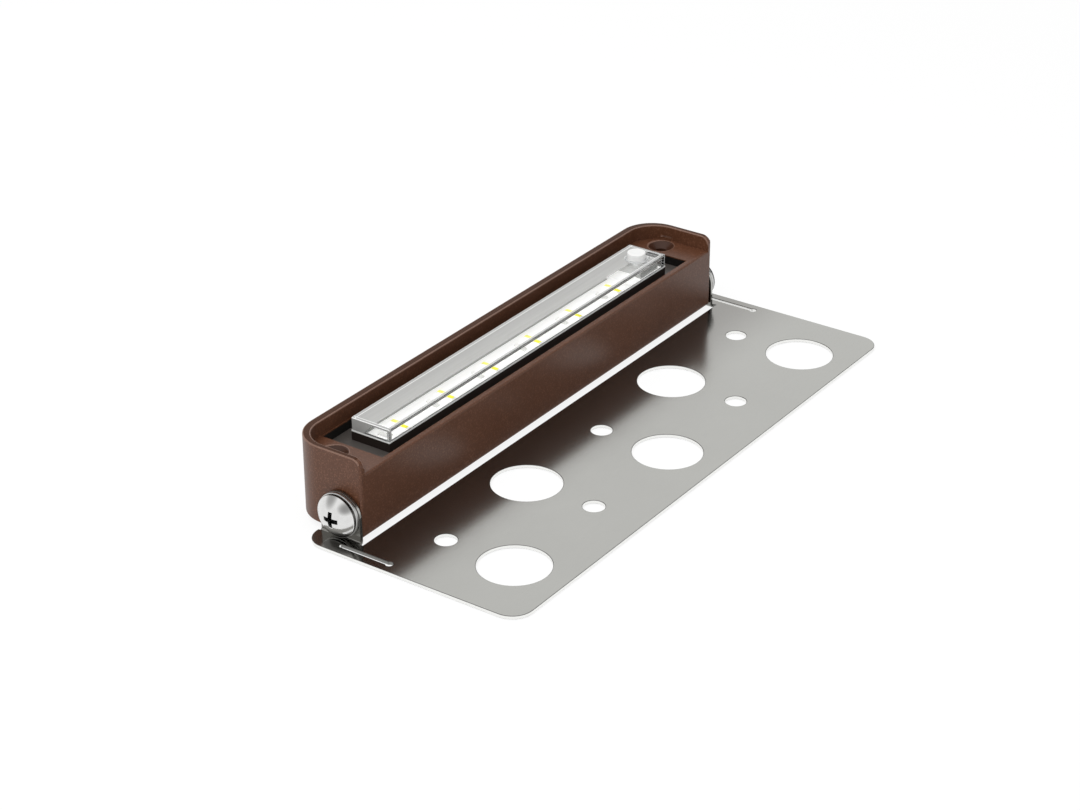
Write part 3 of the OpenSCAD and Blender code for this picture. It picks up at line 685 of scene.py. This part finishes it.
# tilt screws: a domed head with a tapered cross recess
screw = {
    "headSeat": 88.65,
    "rim": 0.8,
    "dome": 2.6,
    "radius": 6.2,
    "rimRound": 0.22,
    "crossLength": 4.8,
    "crossWidth": 1.4,
    "crossDepth": 1.9,
    "crossWall": 0.16,
    "crossEnd": 0.5,
    "crossNarrow": 0.04,
    "crossRise": 0.22,
    "crossTurn": 0,
    "axisY": 21.85,
    "axisZ": 7.8,
    "shoulder": 2.7,
    "thread": 2.5,
    "threadStart": 76.75,
    "threadTip": 0.6,
    "headEnd": 86.25,
    "count": 320,
}


def screwHead(s, side):
    # The head's face is a polar grid, with more rings over the cross: height(r) is a circle's cap, and
    # inside the cross it is lowered by depth * smooth(inside), where inside is how far a point lies
    # within the nearer of the two bars.
    foot = s["radius"] - s["rimRound"]
    capRadius = (foot ** 2 + s["dome"] ** 2) / (2 * s["dome"])
    rings = np.concatenate([np.linspace(0, 1, 130) ** 0.9 * foot, np.linspace(0.3, 2.8, 70)])
    rings = np.unique(rings)[1:]
    t = np.linspace(0, 2 * math.pi, s["count"], endpoint=False)
    r, a = np.meshgrid(rings, t, indexing="ij")
    y, z = r * np.cos(a), r * np.sin(a)
    turn = math.radians(s["crossTurn"])
    u, v = y * math.cos(turn) + z * math.sin(turn), z * math.cos(turn) - y * math.sin(turn)

    def bar(p, q):
        reach = (s["crossLength"] / 2 - np.abs(p)) / s["crossEnd"]
        width = (s["crossWidth"] / 2 * (1 - s["crossNarrow"] * np.abs(p)) - np.abs(q)) / s["crossWall"]
        return np.clip(np.minimum(reach, width), 0, 1)

    inside = np.maximum(bar(u, v), bar(v, u))
    inside = inside * inside * (3 - 2 * inside)
    base = s["headSeat"] + s["rim"]
    cap = base + s["dome"] - capRadius + np.sqrt(capRadius ** 2 - r ** 2)
    floor = base + s["dome"] - s["crossDepth"] * (1 - s["crossRise"] * r / (s["crossLength"] / 2))
    height = np.where(inside > 0, cap + (np.minimum(floor, cap) - cap) * inside, cap)
    face = np.stack([height, y, z], -1).reshape(-1, 3)
    face = np.concatenate([face, [[base + s["dome"] - s["crossDepth"], 0, 0]]])
    # the recess mark is where the steel is painted near black as shade
    mark = np.append(np.clip(inside * 1.6 - 0.3, 0, 1).reshape(-1), 1)
    quads = gridFaces(len(rings), len(t), closed=True)
    spoke = np.arange(len(t))
    hub = np.stack([np.full(len(t), len(face) - 1), (spoke + 1) % len(t), spoke], -1)
    # the rim, the flat underside and the shank follow as one lathe profile, from the dome's foot inwards
    outline = [
        (foot, base), (s["radius"], base - 0.02), (s["radius"], s["headSeat"]),
        (s["shoulder"], s["headSeat"]), (s["shoulder"], s["headEnd"]), (s["thread"], s["headEnd"]),
        (s["thread"], s["threadStart"] + s["threadTip"]), (s["thread"] - s["threadTip"], s["threadStart"]),
        (0, s["threadStart"])]
    outline = roundCorners(outline, [0, 0.2, 0.2, 0.05, 0.02, 0.02, 0.05, 0.05, 0], 5)
    body, bodyQuads = lathe(outline, (0, 0, 0), "x", s["count"])
    points = np.concatenate([face, body]) * (side, 1, 1) + (0, s["axisY"], s["axisZ"])
    faces = quads.tolist() + hub.tolist() + (bodyQuads + len(face)).tolist()
    name = "tiltScrewLeft" if side < 0 else "tiltScrewRight"
    return closedMesh(name, points, faces, ("recess", np.concatenate([mark, np.zeros(len(body))])))


for side, end in ((-1, "left"), (1, "right")):
    piece = addPiece("tiltScrew" + end.title(), screwHead(screw, side), "lamp", polished, 35)
    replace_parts(piece, "pivot_screw_" + end)
print("tilt screws made")


# washers under the screw heads, with rolled edges
headWasher = {"inner": 2.75, "outer": 6.45, "low": 87.65, "high": 88.65, "round": 0.25}


def ringMesh(name, s, centre, axis, side=1):
    # a closed rectangle of (radius, height) with rounded corners, turned round the axis
    middle = (s["inner"] + s["outer"]) / 2
    outline = [(middle, s["low"]), (s["outer"], s["low"]), (s["outer"], s["high"]),
               (s["inner"], s["high"]), (s["inner"], s["low"]), (middle, s["low"])]
    points, quads = lathe(roundCorners(outline, [0, *[s["round"]] * 4, 0]), (0, 0, 0), axis)
    return closedMesh(name, points * (side, 1, 1) + centre, quads.tolist())


for side, end in ((-1, "left"), (1, "right")):
    mesh = ringMesh("headWasher" + end.title(), headWasher, (0, screw["axisY"], screw["axisZ"]), "x", side)
    piece = addPiece("headWasher" + end.title(), mesh, "lamp", plain["washerSteel"])
    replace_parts(piece, "head_washer_" + end)
print("washers made")


# push button and its seal
pushButton = {
    "x": 60.2,
    "y": 26.0,
    "top": 26.5,
    "bottom": 21.95,
    "flangeTop": 22.55,
    "radius": 2.78,
    "flange": 3.08,
    "topRound": 0.45,
    "dish": 0.12,
    "dishRadius": 2.0,
    "seal": {"inner": 2.83, "outer": 3.5, "low": 23.15, "high": 24.5, "round": 0.14},
}


def buttonMesh(b):
    # a lathe profile: flange, stem, rounded top edge, and a shallow dish of dish * (1 - (r / dishRadius)^2)
    dish = [(r, b["top"] - b["dish"] * (1 - (r / b["dishRadius"]) ** 2))
            for r in np.linspace(b["dishRadius"], 0, 12)]
    outline = [(0, b["bottom"]), (b["flange"], b["bottom"]), (b["flange"], b["flangeTop"]),
               (b["radius"], b["flangeTop"]), (b["radius"], b["top"]), (b["dishRadius"], b["top"])]
    outer = roundCorners(outline, [0, 0.08, 0.08, 0.03, b["topRound"], 0], 6)
    points, quads = lathe(np.concatenate([outer, dish[1:]]), (b["x"], b["y"], 0))
    return closedMesh("pushButton", points, quads.tolist())


piece = addPiece("pushButton", buttonMesh(pushButton), "button", plain["whiteButton"])
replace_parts(piece, "push_button")
mesh = ringMesh("buttonSeal", pushButton["seal"], (pushButton["x"], pushButton["y"], 0), "z")
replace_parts(addPiece("buttonSeal", mesh, "lamp", seal), "button_seal")
print("button made")


# diodes: a white package with a sunk yellow window
diode = {
    "count": 6,
    "first": -59.0,
    "pitch": 20.6,
    "y": 24.15,
    "length": 5.0,
    "width": 1.6,
    "floor": 20.5,
    "height": 0.6,
    "frame": 0.08,
    "sink": 0.06,
    "windowWall": 0.06,
    "rimRound": 0.08,
    "grid": (15, 31),
}


def diodeMesh(d):
    # a height field over the package: level on the frame, sunk in the window, and falling off at the
    # rim, then a skirt down to the board
    nx, ny = d["grid"]
    u, v =np.linspace(-1, 1, nx), np.linspace(-1, 1, ny)
    x, y = np.meshgrid(u * d["width"] / 2, v * d["length"] / 2, indexing="ij")
    edge = np.minimum(d["width"] / 2 - np.abs(x), d["length"] / 2 - np.abs(y))
    window = np.clip((edge - d["frame"]) / d["windowWall"], 0, 1)
    z = d["height"] - d["sink"] * window - d["sink"] * np.clip(1 - edge / d["rimRound"], 0, 1)
    top = np.stack([x, y, z], -1).reshape(-1, 3)
    index = np.arange(nx * ny).reshape(nx, ny)
    loop = np.concatenate([index[:, 0], index[-1, 1:], index[-2::-1, -1], index[0, -2:0:-1]])
    skirt = top[loop] * (1, 1, 0)
    low = len(top) + np.arange(len(loop))
    sides = np.stack([loop, low, np.roll(low, -1), np.roll(loop, -1)], -1)
    centre = len(top) + len(loop)
    fan = np.stack([np.full(len(loop), centre), np.roll(low, -1), low], -1)
    one = np.concatenate([top, skirt, [[0, 0, 0]]])
    mark = np.concatenate([window.reshape(-1), np.zeros(len(loop) + 1)])
    quads = np.concatenate([gridFaces(nx, ny), sides])
    points, faces = [], []
    for i in range(d["count"]):
        points.append(one + (d["first"] + i * d["pitch"], d["y"], d["floor"]))
        faces += (quads + i * len(one)).tolist() + (fan + i * len(one)).tolist()
    return closedMesh("diodes", np.concatenate(points), faces, ("window", np.tile(mark, d["count"])),
                      join=False)


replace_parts(addPiece("diodes", diodeMesh(diode), "lamp", phosphor), "leds")
print("diodes made")


# floor, backdrop and lamps; lengths in metres
stageLook = {"floorShare": 0.86, "floorColour": 0.92, "world": 0.66, "reach": 30.0, "drop": 0.0002}


def addStageSheet(name, corners, paint):
    mesh = bpy.data.meshes.new(name)
    mesh.from_pydata(corners, [], [(0, 1, 2, 3)])
    mesh.materials.append(paint.material)
    sheet = bpy.data.objects.new(name, mesh)
    bpy.context.scene.collection.objects.link(sheet)
    return sheet


def makeStage(s):
    # camera, glossy and see-through rays take the floor as white, part of its own shade stays, and from
    # below it is open; the world is white for the same rays and dimmer as a lamp
    p = Paint("studioFloor", Roughness=0.9, Specular_IOR_Level=0.0, Base_Color=(s["floorColour"],) * 3)
    white = p.node("ShaderNodeEmission", {}, {"Color": (1, 1, 1), "Strength": 1.0})
    above = p.blend(p.whiteRays() * s["floorShare"], white)
    below = p.node("ShaderNodeNewGeometry").other("Backfacing")
    p.surface(p.node("ShaderNodeMixShader", {}, {
        0: below, 1: above, 2: p.node("ShaderNodeBsdfTransparent")}))
    far = s["reach"]
    floor = addStageSheet("studioFloor", [(-far, -far, 0), (far, -far, 0), (far, far, 0), (-far, far, 0)], p)
    floor.location.z = -s["drop"]
    world = bpy.data.worlds.new("studioWorld")
    bpy.context.scene.world = world
    world.use_nodes = True
    sky = Nodes(world.node_tree)
    background = sky.tree.nodes["Background"]
    sky.feed(background.inputs["Color"], (1, 1, 1))
    sky.feed(background.inputs["Strength"], sky.node("ShaderNodeMapRange", {}, {
        "Value": sky.whiteRays(), "To Min": s["world"], "To Max": 1.0}))


# a black cloth that only reflections see, far in front on the right, where the plate mirrors it
studioFlags = {
    "front": [(0.55, -0.7, 0.35), (1.6, -0.7, 0.35), (1.6, -0.7, 1.1), (0.55, -0.7, 1.1)],
}


def makeFlags(flags):
    p = Paint("blackCloth", Base_Color=(0.01, 0.01, 0.01), Roughness=1.0, Specular_IOR_Level=0.0)
    for name, corners in flags.items():
        flag = addStageSheet(name + "Flag", corners, p)
        for kind in ("camera", "diffuse", "transmission", "shadow", "volume_scatter"):
            setattr(flag, "visible_" + kind, False)


softLamps = {
    "overhead": {"place": (-0.25, 0.15, 0.9), "aim": (0, 0.02, 0), "size": 0.9, "power": 6.2},
    "left": {"place": (-0.85, -0.40, 0.35), "aim": (0, 0.0, 0.01), "size": 0.6, "power": 2.6},
}


def makeLamps(lamps):
    for name, lamp in lamps.items():
        data = bpy.data.lights.new(name + "Lamp", "AREA")
        data.shape = "SQUARE"
        data.size = lamp["size"]
        data.energy = lamp["power"]
        light = bpy.data.objects.new(name + "Lamp", data)
        bpy.context.scene.collection.objects.link(light)
        light.location = lamp["place"]
        light.visible_glossy = False
        aim = Vector(lamp["aim"]) - Vector(lamp["place"])
        light.rotation_euler = aim.to_track_quat("-Z", "Y").to_euler()


makeStage(stageLook)
makeFlags(studioFlags)
makeLamps(softLamps)
bpy.context.scene.view_settings.view_transform = "Standard"
print("stage and lamps made")
